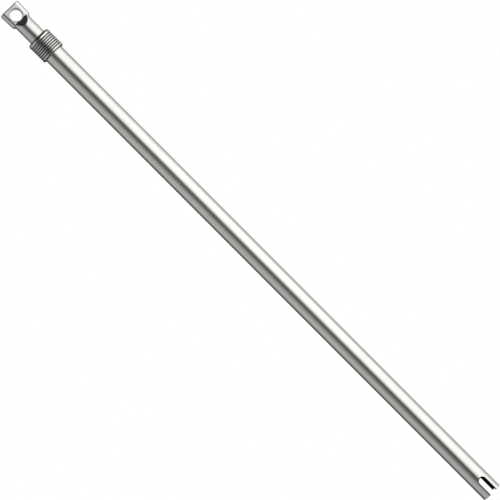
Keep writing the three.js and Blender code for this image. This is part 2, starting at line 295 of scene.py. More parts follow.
def cross_pin(name, low, high, grow=0.0, longer=0.0):
    """A round pin along X with rounded ends, between two corners."""
    radius = (high.z - low.z) / 2 + grow
    half = (high.x - low.x) / 2 + longer
    end_r = min(0.4, radius / 2)
    outline = fillet([(0, -half, 0), (radius, -half, end_r), (radius, half, end_r), (0, half, 0)])
    bm = bmesh.new()
    revolve(bm, outline, PIN_SIDES)
    bmesh.ops.rotate(bm, verts=bm.verts, cent=(0, 0, 0), matrix=Matrix.Rotation(math.pi / 2, 3, "Y"))
    bmesh.ops.translate(bm, verts=bm.verts, vec=(0, 0, (low.z + high.z) / 2))
    return mesh_object(name, bm)


def pin_hole_cutter(low, high):
    """A bar that cuts the hole for the pin between two corners."""
    return cross_pin("pin_hole_cutter", low, high, grow=BORE_GAP, longer=6)


def socket_cutter(radius, bottom, top):
    """A round bar along Z, to cut a socket."""
    bm = bmesh.new()
    revolve(bm, [(0, bottom), (radius, bottom), (radius, top), (0, top)], CUTTER_SIDES)
    return mesh_object("socket_cutter", bm)


def keyed_bore_cutter(low, high):
    """A bar with the rod's section, a little larger, that cuts through a piece between two corners."""
    half = ROD_HALF + BORE_GAP
    ring = polar_ring(lambda c, s: rounded_square_reach(c, s, half, ROD_CORNER_R), 0.0, SMALL_SIDES)
    bm = bmesh.new()
    loft(bm, [[(x, y, z) for x, y, _ in ring] for z in (low.z - CUT_PAST, high.z + CUT_PAST)])
    return mesh_object("keyed_bore_cutter", bm)


# ---------------------------------------------------------------- the barrel's pieces

def tube_skin(bm, rows, quarter, outside):
    """Adds a quarter of the tube's outside or of its bore, and returns its points row by row."""
    side_x, side_y = quarter
    taper = 1.0 if outside else SLOT_TAPER
    grid = []
    for z, half, bore in rows:
        radius = TUBE_R if outside else bore
        if SLOT_ARC_Z < z <= SLOT_DEPTH:
            z = mix(SLOT_ARC_Z, z, taper)
        start = math.asin(half * taper / radius)
        line = []
        for c in range(TUBE_COLUMNS + 1):
            a = start + (math.pi / 2 - start) * c / TUBE_COLUMNS
            line.append(bm.verts.new((side_x * radius * math.sin(a), side_y * radius * math.cos(a), z)))
        grid.append(line)
    for low, high in zip(grid, grid[1:]):
        for c in range(TUBE_COLUMNS):
            bm.faces.new((low[c], low[c + 1], high[c + 1], high[c]))
    return grid


def steel_tube():
    """The tube, one regular mesh: its columns close in from the slot's edge to the middle above the slot.
    The slot is narrower at the bore, by SLOT_TAPER."""
    beside_slot = (0, 1, 3, 6, 9, 12, 15)
    above_slot = (25, 27, 30, 36)
    to_the_top = (80, 120, 240, 360, 480, 600, 700, TUBE_TOP)
    closed = 1e-6

    # A row is its height, half the slot's width there and the bore's radius
    rows = [(z, SLOT_HALF, BORE_R) for z in beside_slot]
    rows += [(SLOT_ARC_Z + SLOT_HALF * math.sin(b), SLOT_HALF * math.cos(b), BORE_R) for b in arc(20)]
    rows += [(z, 0.0, BORE_R) for z in above_slot]
    for ring in ("guide_ring_lower", "guide_ring_upper"):
        low, high = box_mm(ring)
        bottom, top = low.z - FIT_GAP, high.z + FIT_GAP
        rows += [(bottom, 0.0, BORE_R), (bottom, 0.0, RING_GROOVE_R)]
        rows += [(top, 0.0, RING_GROOVE_R), (top, 0.0, BORE_R)]
    rows += [(z, 0.0, BORE_R) for z in to_the_top]

    bm = bmesh.new()
    for quarter in ((1, 1), (1, -1), (-1, 1), (-1, -1)):
        outer = tube_skin(bm, rows, quarter, True)
        inner = tube_skin(bm, rows, quarter, False)
        for end in (0, -1):
            for c in range(TUBE_COLUMNS):
                bm.faces.new((outer[end][c], outer[end][c + 1], inner[end][c + 1], inner[end][c]))
        for k, (_, half, _) in enumerate(rows[:-1]):
            if half > closed:
                bm.faces.new((outer[k][0], outer[k + 1][0], inner[k + 1][0], inner[k][0]))
    return round_edges(mesh_object("steel_tube", bm), width_mm=0.25)


def ribbed_collar():
    """The collar: a plain land at each end, one rounded and one chamfered, and ring grooves between them.
    upper_edge is the chamfered one's (how far in, how far down) from its corner, point by point."""
    groove_depth = 1.1
    groove_width = 1.95
    steps = 12
    lower_axial, lower_radial = 2.9, 2.2
    upper_edge = ((0.1, 3.2), (0.22, 1.6), (1.2, 0.15), (1.5, 0))
    lip_r = SHANK_R + 0.45
    lip_bottom = WIPER_HIGH.z + END_GAP
    seat_r = TUBE_R + FIT_GAP
    chamfer = 0.3

    outline = []
    for a in arc(steps):
        inset = lower_radial * (1 - math.sin(a))
        outline.append((COLLAR_R - inset, COLLAR_LOW.z + lower_axial * (1 - math.cos(a))))
    for g in range(RIB_GROOVES):
        centre = RIB_MIDDLE + (g - (RIB_GROOVES - 1) / 2) * RIB_PITCH
        for i in range(steps + 1):
            t = 2 * i / steps - 1
            inset = groove_depth * (0.5 + 0.5 * math.cos(math.pi * t))
            outline.append((COLLAR_R - inset, centre + t * groove_width / 2))
    outline += [(COLLAR_R - inset, COLLAR_HIGH.z - below) for inset, below in upper_edge]
    outline += [(lip_r + chamfer, COLLAR_HIGH.z), (lip_r, COLLAR_HIGH.z - chamfer)]
    outline += [(lip_r, lip_bottom), (seat_r, lip_bottom)]
    outline += [(seat_r, COLLAR_LOW.z + chamfer), (seat_r + chamfer, COLLAR_LOW.z)]
    bm = bmesh.new()
    revolve(bm, outline, ROUND_SIDES)
    return mesh_object("ribbed_collar", bm, sharp_deg=50)


def top_bush():
    """The acetal bush the shank slides in, with a grease groove round its bore."""
    inner = SHANK_R + FIT_GAP
    groove_r = inner + 0.5
    outer = BUSH_HIGH.x
    middle = (BUSH_LOW.z + BUSH_HIGH.z) / 2
    return revolved("top_bush", [
        (inner, BUSH_LOW.z, 0.3), (outer, BUSH_LOW.z, 0.4),
        (outer, BUSH_HIGH.z, 0.4), (inner, BUSH_HIGH.z, 0.3),
        (inner, middle + 0.8, 0.2), (groove_r, middle + 0.4, 0.2),
        (groove_r, middle - 0.4, 0.2), (inner, middle - 0.8, 0.2),
    ])


def dust_wiper():
    """The rubber ring whose lip leans up and in towards the shank."""
    inner = SHANK_R + FIT_GAP
    outer = WIPER_HIGH.x
    return revolved("dust_wiper", [
        (inner + 0.7, WIPER_LOW.z, 0.15), (outer, WIPER_LOW.z, 0.25), (outer, WIPER_HIGH.z, 0.2),
        (outer - 0.7, WIPER_HIGH.z, 0.2), (outer - 0.9, WIPER_HIGH.z - 0.8, 0.15),
        (inner, WIPER_HIGH.z, 0), (inner, WIPER_HIGH.z - 0.5, 0.1),
    ])


def keyed_guide():
    """The acetal guide with a square bore that keeps the plunger from turning."""
    outer = GUIDE_HIGH.x
    chamfer = 0.6
    body = revolved("keyed_guide", [
        (0, GUIDE_LOW.z, 0), (outer - chamfer, GUIDE_LOW.z, 0.3), (outer, GUIDE_LOW.z + chamfer, 0.3),
        (outer, GUIDE_HIGH.z - chamfer, 0.3), (outer - chamfer, GUIDE_HIGH.z, 0.3), (0, GUIDE_HIGH.z, 0),
    ])
    return cut(body, keyed_bore_cutter(GUIDE_LOW, GUIDE_HIGH))


def open_ring(name, node, inner_r, outer_r, opening_deg):
    """A snap ring: a rounded oblong section swept round Z, with a gap at +X."""
    low, high = box_mm(node)
    round_r = 0.25
    section = fillet([(inner_r, low.z, round_r), (outer_r, low.z, round_r),
                      (outer_r, high.z, round_r), (inner_r, high.z, round_r)], steps=3)
    bm = bmesh.new()
    rings = []
    for a in arc(SMALL_SIDES, opening_deg / 2, 360 - opening_deg / 2):
        rings.append([(r * math.cos(a), r * math.sin(a), z) for r, z in section])
    loft(bm, rings)
    return mesh_object(name, bm)


def coil_spring():
    """The return spring: round wire, a close turn at each end and an even pitch between. The wire's last
    two rings are smaller, by end_shares, so that its ends are rounded."""
    wire_r = 1.1
    mean_r = SPRING_HIGH.x - wire_r
    turns = 9
    steps = 48 * turns
    end_shares = (0.8, 0.94)
    close_pitch = 2 * wire_r + 0.2
    first = SPRING_LOW.z + wire_r
    last = SPRING_HIGH.z - wire_r
    open_pitch = (last - first - 2 * close_pitch) / (turns - 2)
    line = []
    for i in range(steps + 1):
        turn = turns * i / steps
        opened = min(max(turn - 1, 0), turns - 2)
        a = 2 * math.pi * turn
        line.append(Vector((mean_r * math.cos(a), mean_r * math.sin(a),
                            first + close_pitch * (turn - opened) + open_pitch * opened)))
    bm = bmesh.new()
    rings = []
    for i, at in enumerate(line):
        along = (line[min(i + 1, steps)] - line[max(i - 1, 0)]).normalized()
        out = Vector((at.x, at.y, 0)).normalized()
        up = along.cross(out)
        from_end = min(i, steps - i)
        radius = wire_r * (end_shares[from_end] if from_end < len(end_shares) else 1.0)
        rings.append([at + radius * (math.cos(b) * out + math.sin(b) * up) for b in arc(16, 0, 360)[:-1]])
    loft(bm, rings)
    return mesh_object("coil_spring", bm)


# ---------------------------------------------------------------- the plunger's pieces

def eye_reach(c, s, half_width, half_thick, side):
    """How far a ray along (c, s) goes to the edge of a flat bar whose sides are half ellipses, side deep."""
    c, s = abs(c), abs(s)
    flat = half_width - side
    if half_thick * c <= flat * s:
        return half_thick / s
    middle = c * flat / side ** 2
    spread = (c / side) ** 2 + (s / half_thick) ** 2
    return (middle + math.sqrt(max(0.0, middle ** 2 - spread * ((flat / side) ** 2 - 1)))) / spread


def eye_section(z, inset, columns):
    """The forging's outline at height z: the round shank, joined to the flat eye with its rounded sides.
    The flats run out into the shank in a slope whose foot is curved, by RUNOUT_CURVE."""
    grown = smoothstep(SHOULDER_BOTTOM, SHOULDER_TOP, z)
    slope = (SHANK_R - EYE_HALF_THICK) / (RUNOUT_TOP - RUNOUT_BOTTOM)
    spread = max(0.0, (z - SHOULDER_TOP) / (EYE_TOP - SHOULDER_TOP))
    width = mix(SHANK_R, mix(EYE_HALF_NECK, EYE_HALF_TIP, spread), grown) - inset
    shank = SHANK_R * (1 - smoothstep(RUNOUT_TOP - 0.5, RUNOUT_TOP + 3, z))
    join_round = 0.05 + 0.4 * grown
    runout_round = 0.05 + 0.9 * (1 - grown)

    def reach(c, s):
        eye = eye_reach(c, s, width, EYE_HALF_THICK, EYE_SIDE - inset)
        both = -soft_min(-shank, -eye, join_round) if grown > 0 else SHANK_R
        upright = max(abs(s), 1e-6)
        aside = min(SHANK_R, EYE_HALF_THICK * abs(c) / upright)
        climb = z + RUNOUT_CURVE * aside ** 2 - RUNOUT_BOTTOM
        half_y = max(EYE_HALF_THICK, SHANK_R - slope * climb) - inset
        return soft_min(both, half_y / upright, runout_round)

    return polar_ring(reach, z, columns)


def eye_hole_cutter():
    """The cross hole along Y, flared where it meets each flat."""
    flare_r = EYE_HOLE_R + EYE_HOLE_ROUND * 1.4
    outline = [(0.0, -EYE_HALF_THICK - CUT_PAST)]
    for side in (-1, 1):
        mouth = [(flare_r, side * (EYE_HALF_THICK + CUT_PAST))]
        for b in arc(8, -25, 90):
            r = EYE_HOLE_R + EYE_HOLE_ROUND * (1 - math.sin(b))
            mouth.append((r, side * (EYE_HALF_THICK - EYE_HOLE_ROUND * (1 - math.cos(b)))))
        outline += mouth if side < 0 else reversed(mouth)
    outline.append((0.0, EYE_HALF_THICK + CUT_PAST))
    bm = bmesh.new()
    revolve(bm, outline, SMALL_SIDES)
    bmesh.ops.rotate(bm, verts=bm.verts, cent=(0, 0, 0), matrix=Matrix.Rotation(math.pi / 2, 3, "X"))
    bmesh.ops.translate(bm, verts=bm.verts, vec=(0, 0, EYE_HOLE_Z))
    return mesh_object("eye_hole_cutter", bm)


def forged_eye():
    """The eye and its shank, one forging: its rings are close together where its shape changes."""
    columns = 240
    tip_round = 1.2
    foot_round = 1.0
    close_step = 0.25
    open_step = 1.5
    heights = [700, 720, 740, 755, 770]
    rings = []
    for b in arc(4):
        r = SHANK_R - foot_round * (1 - math.sin(b))
        rings.append(polar_ring(lambda c, s: r, EYE_LOW.z + foot_round * (1 - math.cos(b)), columns))
    z = RUNOUT_BOTTOM - 3
    while z < EYE_TOP - tip_round:
        heights.append(z)
        z += close_step if z < SHOULDER_TOP + 3 else open_step
    rings += [eye_section(z, 0.0, columns) for z in heights]
    for b in arc(6):
        inset = tip_round * (1 - math.cos(b))
        rings.append(eye_section(EYE_TOP - tip_round * (1 - math.sin(b)), inset, columns))
    bm = bmesh.new()
    loft(bm, rings)
    socket_start = EYE_LOW.z - 2
    return cut(mesh_object("forged_eye", bm), eye_hole_cutter(),
               socket_cutter(ROD_HALF + BORE_GAP, socket_start, ROD_HIGH.z + END_GAP),
               pin_hole_cutter(SHANK_PIN_LOW, SHANK_PIN_HIGH))


def square_rod():
    """The push rod: square with broken corners, round at both ends, with a groove for its clip."""
    chamfer = 0.5
    undercut = 0.8
    square_bottom = FOOT_HIGH.z + END_GAP
    square_top = EYE_LOW.z - END_GAP

    def square(half):
        return lambda c, s: rounded_square_reach(c, s, half, ROD_CORNER_R)

    def disc(radius):
        return lambda c, s: radius

    def grooved(c, s):
        return min(CLIP_GROOVE_R, rounded_square_reach(c, s, ROD_HALF, ROD_CORNER_R))

    sections = [
        (ROD_LOW.z, disc(FOOT_SPIGOT_R - chamfer)),
        (ROD_LOW.z + chamfer, disc(FOOT_SPIGOT_R)),
        (square_bottom, disc(FOOT_SPIGOT_R)),
        (square_bottom, square(ROD_HALF - chamfer)),
        (square_bottom + chamfer, square(ROD_HALF)),
        (CLIP_LOW.z - FIT_GAP, square(ROD_HALF)),
        (CLIP_LOW.z - FIT_GAP, grooved),
        (CLIP_HIGH.z + FIT_GAP, grooved),
        (CLIP_HIGH.z + FIT_GAP, square(ROD_HALF)),
        (square_top - chamfer, square(ROD_HALF)),
        (square_top, square(ROD_HALF - chamfer)),
        (square_top, disc(ROD_HALF - undercut)),
        (square_top + chamfer, disc(ROD_HALF)),
        (ROD_HIGH.z - chamfer, disc(ROD_HALF)),
        (ROD_HIGH.z, disc(ROD_HALF - chamfer)),
    ]
    bm = bmesh.new()
    loft(bm, [polar_ring(reach, z, SMALL_SIDES) for z, reach in sections])
    return cut(mesh_object("square_rod", bm), pin_hole_cutter(SHANK_PIN_LOW, SHANK_PIN_HIGH),
               pin_hole_cutter(FOOT_PIN_LOW, FOOT_PIN_HIGH))


def thrust_washer():
    """The washer between the spring and the rod's clip."""
    outer = WASHER_HIGH.x
    disc = revolved("thrust_washer", [
        (0, WASHER_LOW.z, 0), (outer, WASHER_LOW.z, 0.35),
        (outer, WASHER_HIGH.z, 0.35), (0, WASHER_HIGH.z, 0),
    ])
    return cut(disc, keyed_bore_cutter(WASHER_LOW, WASHER_HIGH))


def rubber_buffer():
    """The rubber stop between the foot and the guide, waisted so that it can squash."""
    inner = 6.8
    outer = BUFFER_HIGH.x
    middle = (BUFFER_LOW.z + BUFFER_HIGH.z) / 2
    return revolved("rubber_buffer", [
        (inner, BUFFER_LOW.z, 0.4), (outer, BUFFER_LOW.z, 0.7), (outer - 0.5, middle, 1.5),
        (outer, BUFFER_HIGH.z, 0.7), (inner, BUFFER_HIGH.z, 0.4),
    ])


def push_foot():
    """The foot that pushes the soil plug out, with a groove for its seal and a socket for the rod."""
    outer = FOOT_HIGH.x
    groove_r = 9.0
    groove_bottom = SEAL_LOW.z - FIT_GAP
    groove_top = SEAL_HIGH.z + FIT_GAP
    dish = 0.4
    body = revolved("push_foot", [
        (0, FOOT_LOW.z + dish, 0), (outer - 2.6, FOOT_LOW.z + dish, 0.6), (outer - 1.8, FOOT_LOW.z, 0.4),
        (outer, FOOT_LOW.z, 0.6), (outer, groove_bottom, 0.15), (groove_r, groove_bottom, 0.15),
        (groove_r, groove_top, 0.15), (outer, groove_top, 0.15), (outer, FOOT_HIGH.z, 0.7),
        (0, FOOT_HIGH.z, 0),
    ])
    return cut(body, socket_cutter(FOOT_SPIGOT_R + BORE_GAP, ROD_LOW.z - END_GAP, FOOT_HIGH.z + CUT_PAST),
               pin_hole_cutter(FOOT_PIN_LOW, FOOT_PIN_HIGH))


def ring_seal():
    """The foot's seal: a square ring with soft corners and two running lips."""
    inner = 9.1
    outer = SEAL_HIGH.x
    middle = (SEAL_LOW.z + SEAL_HIGH.z) / 2
    return revolved("ring_seal", [
        (inner, SEAL_LOW.z, 0.4), (outer, SEAL_LOW.z, 0.5),
        (outer, middle - 0.5, 0.15), (outer - 0.3, middle, 0.3), (outer, middle + 0.5, 0.15),
        (outer, SEAL_HIGH.z, 0.5), (inner, SEAL_HIGH.z, 0.4),
    ])


# ---------------------------------------------------------------- shader helpers

def plug(tree, socket, value):
    """Links value to socket where value is a socket too, and else sets it there."""
    if isinstance(value, bpy.types.NodeSocket):
        tree.links.new(value, socket)
    else:
        socket.default_value = value


def add(tree, kind, settings=None, **inputs):
    """Adds a shader node. Inputs are sockets to link or plain values, with _ for a space in their names."""
    node = tree.nodes.new("ShaderNode" + kind)
    for name, value in (settings or {}).items():
        setattr(node, name, value)
    for name, value in inputs.items():
        plug(tree, node.inputs[name.replace("_", " ")], value)
    return node


def calculate(tree, operation, *values, kind="Math", result="Value"):
    """The result of a Math node, or of a VectorMath one."""
    node = add(tree, kind, {"operation": operation})
    for socket, value in zip(node.inputs, values):
        plug(tree, socket, value)
    return node.outputs[result]


def noise(tree, place, scale, stretch=(1, 1, 1), detail=4.0, roughness=0.55):
    """Noise from 0 to 1, pulled out along the axes where stretch is small."""
    mapping = add(tree, "Mapping", Vector=place, Scale=stretch)
    made = add(tree, "TexNoise", Vector=mapping.outputs["Vector"], Scale=scale, Detail=detail,
               Roughness=roughness)
    return made.outputs["Fac"]


def span(tree, value, low, high, from_low=0.0, from_high=1.0):
    """value, from from_low..from_high to low..high."""
    made = add(tree, "MapRange", Value=value, From_Min=from_low, From_Max=from_high,
               To_Min=low, To_Max=high)
    return made.outputs["Result"]


def blended(tree, share, first, second):
    """A colour: first where share is 0, second where it is 1. Mix nodes know their sockets by number."""
    node = add(tree, "Mix", {"data_type": "RGBA"})
    for number, value in ((0, share), (6, first), (7, second)):
        tree.links.new(value, node.inputs[number])
    return node.outputs[2]


def either(tree, share, first, second):
    """A shader: first where share is 0, second where it is 1."""
    node = add(tree, "MixShader", Fac=share)
    tree.links.new(first, node.inputs[1])
    tree.links.new(second, node.inputs[2])
    return node.outputs["Shader"]


def tinted(tree, color, amount):
    """color times amount."""
    made = add(tree, "VectorMath", {"operation": "SCALE"}, Scale=amount)
    made.inputs[0].default_value = color
    return made.outputs["Vector"]


def start_material(name):
    """A new material, its node tree, the place of a point in metres, and its shader."""
    material = bpy.data.materials.new(name)
    material.use_nodes = True
    tree = material.node_tree
    place = add(tree, "TexCoord").outputs["Object"]
    return material, tree, place, tree.nodes["Principled BSDF"]


def finish_material(tree, shader, color, roughness, height, depth_mm, strength):
    """Links a material's colour, roughness and bump to its shader."""
    bump = add(tree, "Bump", Height=height, Strength=strength, Distance=depth_mm * MM)
    tree.links.new(color, shader.inputs["Base Color"])
    tree.links.new(roughness, shader.inputs["Roughness"])
    tree.links.new(bump.outputs["Normal"], shader.inputs["Normal"])


# ---------------------------------------------------------------- materials

# Steel's stains, streaks and scratches: their scales, or their shares of the grain's scale, the range of
# noise that becomes a scratch, and the range of pointiness that becomes an edge, lighter as wear or darker
# as painted shade
CLOUD_SCALE = 60.0
STAIN_SCALE = 14.0
STREAK_SHARE = 0.3
SCRATCH_SHARE = 0.23
SCRATCH_FROM, SCRATCH_TO = 0.66, 0.72
SCRATCH_DARKER = 0.04
SCRATCH_ROUGHER = 0.1
EDGE_FROM, EDGE_TO = 0.52, 0.62

# Darker, rougher steel near the axis and along the mouth's edges, in millimetres but for DULL_ROUGHER and
# END_NARROWER: painted shade in the tube's bore and at its mouth's edges, and darker groove bottoms on the
# collar
DULL_FADE = 0.15
DULL_ROUGHER = 0.5
EDGE_DULL = 0.5
EDGE_FADE = 0.25
EDGE_UNEVEN = 0.1
END_NARROWER = 1.6


def near_axis(tree, place, uneven, radius):
    """1 nearer the axis than radius, in millimetres, and 0 farther out, with a soft uneven edge."""
    fade = DULL_FADE * MM
    aside = calculate(tree, "MULTIPLY", place, (1, 1, 0), kind="VectorMath", result="Vector")
    reach = calculate(tree, "LENGTH", aside, kind="VectorMath")
    near = calculate(tree, "ADD", reach, span(tree, uneven, -fade, fade))
    return span(tree, near, 1.0, 0.0, radius * MM - fade, radius * MM + fade)


def mouth_edge_shade(tree, place, uneven):
    """Painted shade at the mouth's edges: 1 at the edges of its slots and at its end, and 0 from EDGE_DULL
    millimetres away. The end's share is END_NARROWER times narrower."""
    axes = add(tree, "SeparateXYZ", Vector=place)
    past_arc = calculate(tree, "SUBTRACT", axes.outputs["Z"], SLOT_ARC_Z * MM)
    above = calculate(tree, "MAXIMUM", past_arc, 0.0)
    above_squared = calculate(tree, "MULTIPLY", above, above)
    across_squared = calculate(tree, "MULTIPLY", axes.outputs["X"], axes.outputs["X"])
    reach = calculate(tree, "SQRT", calculate(tree, "ADD", across_squared, above_squared))
    from_slot = calculate(tree, "SUBTRACT", reach, SLOT_HALF * MM)
    from_end = calculate(tree, "MULTIPLY", axes.outputs["Z"], END_NARROWER)
    nearest = calculate(tree, "MINIMUM", from_slot, from_end)
    nearest = calculate(tree, "ADD", nearest, span(tree, uneven, -EDGE_UNEVEN * MM, EDGE_UNEVEN * MM))
    return span(tree, nearest, 1.0, 0.0, (EDGE_DULL - EDGE_FADE) * MM, EDGE_DULL * MM)


def steel(name, color, roughness, grain, grain_scale, mottle=0.05, wear_and_edge_shade=0.10,
          darkened_within=0.0, dark_color=None, shaded_edges=False):
    """Bare steel: machining lines stretched by grain, a few scratches and soft stains. Edges are brighter by
    the edge amount, as wear, or darker where it's below 0, as painted shade. Nearer the axis than the given
    radius, in millimetres, it takes the dark colour and is rougher, which in the tube's bore is painted
    shade; with the edges flag the mouth's edges take it too, as painted shade."""
    material, tree, place, shader = start_material(name)
    lines = noise(tree, place, grain_scale, grain, detail=6.0, roughness=0.6)
    clouds = noise(tree, place, CLOUD_SCALE)
    stains = noise(tree, place, STAIN_SCALE, (1, 1, 0.5), detail=3.0)
    streaks = noise(tree, place, grain_scale * STREAK_SHARE, grain, detail=3.0, roughness=0.6)
    marks = noise(tree, place, grain_scale * SCRATCH_SHARE, tuple(g * 0.6 for g in grain), detail=2.0)
    scratch = span(tree, marks, 0.0, 1.0, SCRATCH_FROM, SCRATCH_TO)
    point = add(tree, "NewGeometry").outputs["Pointiness"]
    edge = span(tree, point, 0.0, 1.0, EDGE_FROM, EDGE_TO)

    tone = calculate(tree, "ADD", span(tree, clouds, 1 - mottle, 1 + mottle),
                     span(tree, stains, -mottle / 2, mottle / 2))
    tone = calculate(tree, "ADD", tone, span(tree, streaks, -mottle, mottle))
    tone = calculate(tree, "SUBTRACT", tone, calculate(tree, "MULTIPLY", scratch, SCRATCH_DARKER))
    # Edges: lighter as wear where the edge amount is above 0, darker as painted shade where it's below 0
    tone = calculate(tree, "ADD", tone, calculate(tree, "MULTIPLY", edge, wear_and_edge_shade))
    rough = calculate(tree, "ADD", span(tree, lines, roughness * 0.75, roughness * 1.3),
                      calculate(tree, "MULTIPLY", scratch, SCRATCH_ROUGHER))
    rough = calculate(tree, "SUBTRACT", rough, calculate(tree, "MULTIPLY", edge, roughness * 0.25))
    shown = tinted(tree, color, tone)
    # Near the axis, and at the mouth's edges when asked, a darker, rougher colour: painted shade in the
    # tube's bore and at its mouth
    if dark_color:
        dull = near_axis(tree, place, clouds, darkened_within)
        if shaded_edges:
            dull = calculate(tree, "MAXIMUM", dull, mouth_edge_shade(tree, place, clouds))
        shown = blended(tree, dull, shown, tinted(tree, dark_color, tone))
        rough = calculate(tree, "ADD", rough, calculate(tree, "MULTIPLY", dull, DULL_ROUGHER))
    height = calculate(tree, "SUBTRACT", lines, scratch)
    finish_material(tree, shader, shown, rough, height, depth_mm=0.02, strength=0.12)
    shader.inputs["Metallic"].default_value = 1.0
    return material


def rubber(name):
    """Moulded black rubber with a fine grain and a little dust in it."""
    material, tree, place, shader = start_material(name)
    grain = noise(tree, place, 2600.0, detail=5.0)
    dust = noise(tree, place, 220.0, detail=3.0)
    tone = calculate(tree, "ADD", span(tree, dust, 0.8, 1.6), span(tree, grain, -0.15, 0.15))
    rough = span(tree, grain, 0.55, 0.85)
    shown = tinted(tree, (0.026, 0.026, 0.027), tone)
    finish_material(tree, shader, shown, rough, grain, depth_mm=0.03, strength=0.35)
    return material


def acetal(name):
    """Turned pale plastic: fine lathe rings, a waxy sheen and faint grey marks."""
    material, tree, place, shader = start_material(name)
    rings = noise(tree, place, 3200.0, (0.02, 0.02, 1))
    marks = noise(tree, place, 180.0, detail=5.0)
    tone = calculate(tree, "ADD", span(tree, marks, 0.9, 1.05), span(tree, rings, -0.03, 0.03))
    rough = span(tree, rings, 0.35, 0.55)
    shown = tinted(tree, (0.76, 0.74, 0.67), tone)
    finish_material(tree, shader, shown, rough, rings, depth_mm=0.02, strength=0.2)
    return material


# ---------------------------------------------------------------- light, floor and camera

# The camera aims at a point on the axis, in millimetres, moved a little aside. Its distance and the width
# that it frames there are in metres.
CAMERA_AZIMUTH = math.radians(-8.5)
CAMERA_ROLL = math.radians(45.05)
CAMERA_TARGET_Z = 404.8
CAMERA_TARGET_ASIDE = 0.18
CAMERA_DISTANCE = 3.55
FRAME_WIDTH = 0.5912
SENSOR = 36.0
BACK = Vector((math.sin(CAMERA_AZIMUTH), -math.cos(CAMERA_AZIMUTH), 0))
RIGHT = Vector((math.cos(CAMERA_AZIMUTH), math.sin(CAMERA_AZIMUTH), 0))
UP = Vector((0, 0, 1))

# The studio round the tool, as steel mirrors it. Each row is a turn from the camera towards its right, in
# degrees, and how bright the room is there at each of STUDIO_HEIGHTS, from far below to far above. A height
# is the upward part of a direction whose length is 1.
STUDIO_HEIGHTS = (-0.9, -0.35, 0.0, 0.3, 0.52)
STUDIO = (
    (-180, 0.10, 0.50, 0.75, 0.50, 0.05),
    (-164, 0.08, 0.40, 0.70, 0.40, 0.10),
    (-154, 0.06, 0.06, 0.08, 0.08, 0.12),
    (-140, 0.06, 0.06, 0.06, 0.12, 0.20),
    (-122, 0.06, 0.10, 0.10, 0.30, 0.25),
    (-104, 0.06, 0.32, 0.44, 0.36, 0.20),
    (-90, 0.06, 0.36, 0.50, 0.40, 0.20),
    (-60, 0.06, 0.34, 0.49, 0.44, 0.22),
    (-46, 0.05, 0.25, 0.35, 0.40, 0.16),
    (-24, 0.40, 0.02, 0.175, 0.02, 0.04),
    (-11, 0.45, 0.01, 0.12, 0.01, 0.02),
    (-5, 0.45, 0.01, 0.14, 0.01, 0.02),
    (4, 0.45, 0.01, 0.365, 0.01, 0.02),
    (14, 0.20, 0.10, 0.90, 0.08, 0.03),
    (25, 0.60, 0.85, 1.19, 0.75, 0.035),
    (40, 0.70, 1.05, 1.30, 1.00, 0.035),
    (60, 0.70, 1.05, 1.30, 1.00, 0.02),
    (85, 0.70, 1.05, 1.24, 1.00, 0.02),
    (100, 0.45, 0.80, 0.95, 0.80, 0.02),
    (118, 0.25, 0.50, 0.58, 0.50, 0.03),
    (135, 0.12, 0.35, 0.45, 0.35, 0.03),
    (150, 0.10, 0.30, 0.40, 0.30, 0.03),
    (164, 0.08, 0.40, 0.60, 0.40, 0.04),
    (180, 0.10, 0.50, 0.75, 0.50, 0.05),
)

# The floor, in metres. It turns white where it's seen at a low slant, and away from the tool
FLOOR_R = 1.6
FLOOR_DROP = 0.0003
FLOOR_LOW_SLANT, FLOOR_HIGH_SLANT = 0.18, 0.45
FLOOR_NEAR, FLOOR_FAR = 0.35, 0.9


def studio_ramp(tree, turn, column):
    """How bright the room is all the way round, from one column of STUDIO."""
    node = add(tree, "ValToRGB", Fac=turn)
    node.color_ramp.interpolation = "EASE"
    elements = node.color_ramp.elements
    elements.remove(elements[-1])
    for i, row in enumerate(STUDIO):
        at = (row[0] + 180) / 360
        stop = elements[0] if i == 0 else elements.new(at)
        stop.position = at
        stop.color = (row[column], row[column], row[column], 1)
    return node.outputs["Color"]


def studio():
    """The room as steel sees it. The camera itself sees plain white."""
    world = bpy.data.worlds.new("studio")
    bpy.context.scene.world = world
    world.use_nodes = True
    tree = world.node_tree
    tree.nodes.clear()
    place = add(tree, "TexCoord").outputs["Generated"]
    right, back, up = [calculate(tree, "DOT_PRODUCT", place, axis, kind="VectorMath")
                       for axis in (RIGHT, BACK, UP)]
    turn = span(tree, calculate(tree, "ARCTAN2", right, back), 0.0, 1.0, -math.pi, math.pi)
    light = studio_ramp(tree, turn, 1)
    for k in range(1, len(STUDIO_HEIGHTS)):
        share = add(tree, "MapRange", {"interpolation_type": "SMOOTHSTEP"}, Value=up,
                    From_Min=STUDIO_HEIGHTS[k - 1], From_Max=STUDIO_HEIGHTS[k])
        light = blended(tree, share.outputs["Result"], light, studio_ramp(tree, turn, k + 1))
    lit = add(tree, "Background", Color=light).outputs["Background"]
    white = add(tree, "Background", Color=(1, 1, 1, 1)).outputs["Background"]
    seen = add(tree, "LightPath").outputs["Is Camera Ray"]
    add(tree, "OutputWorld", Surface=either(tree, seen, lit, white))


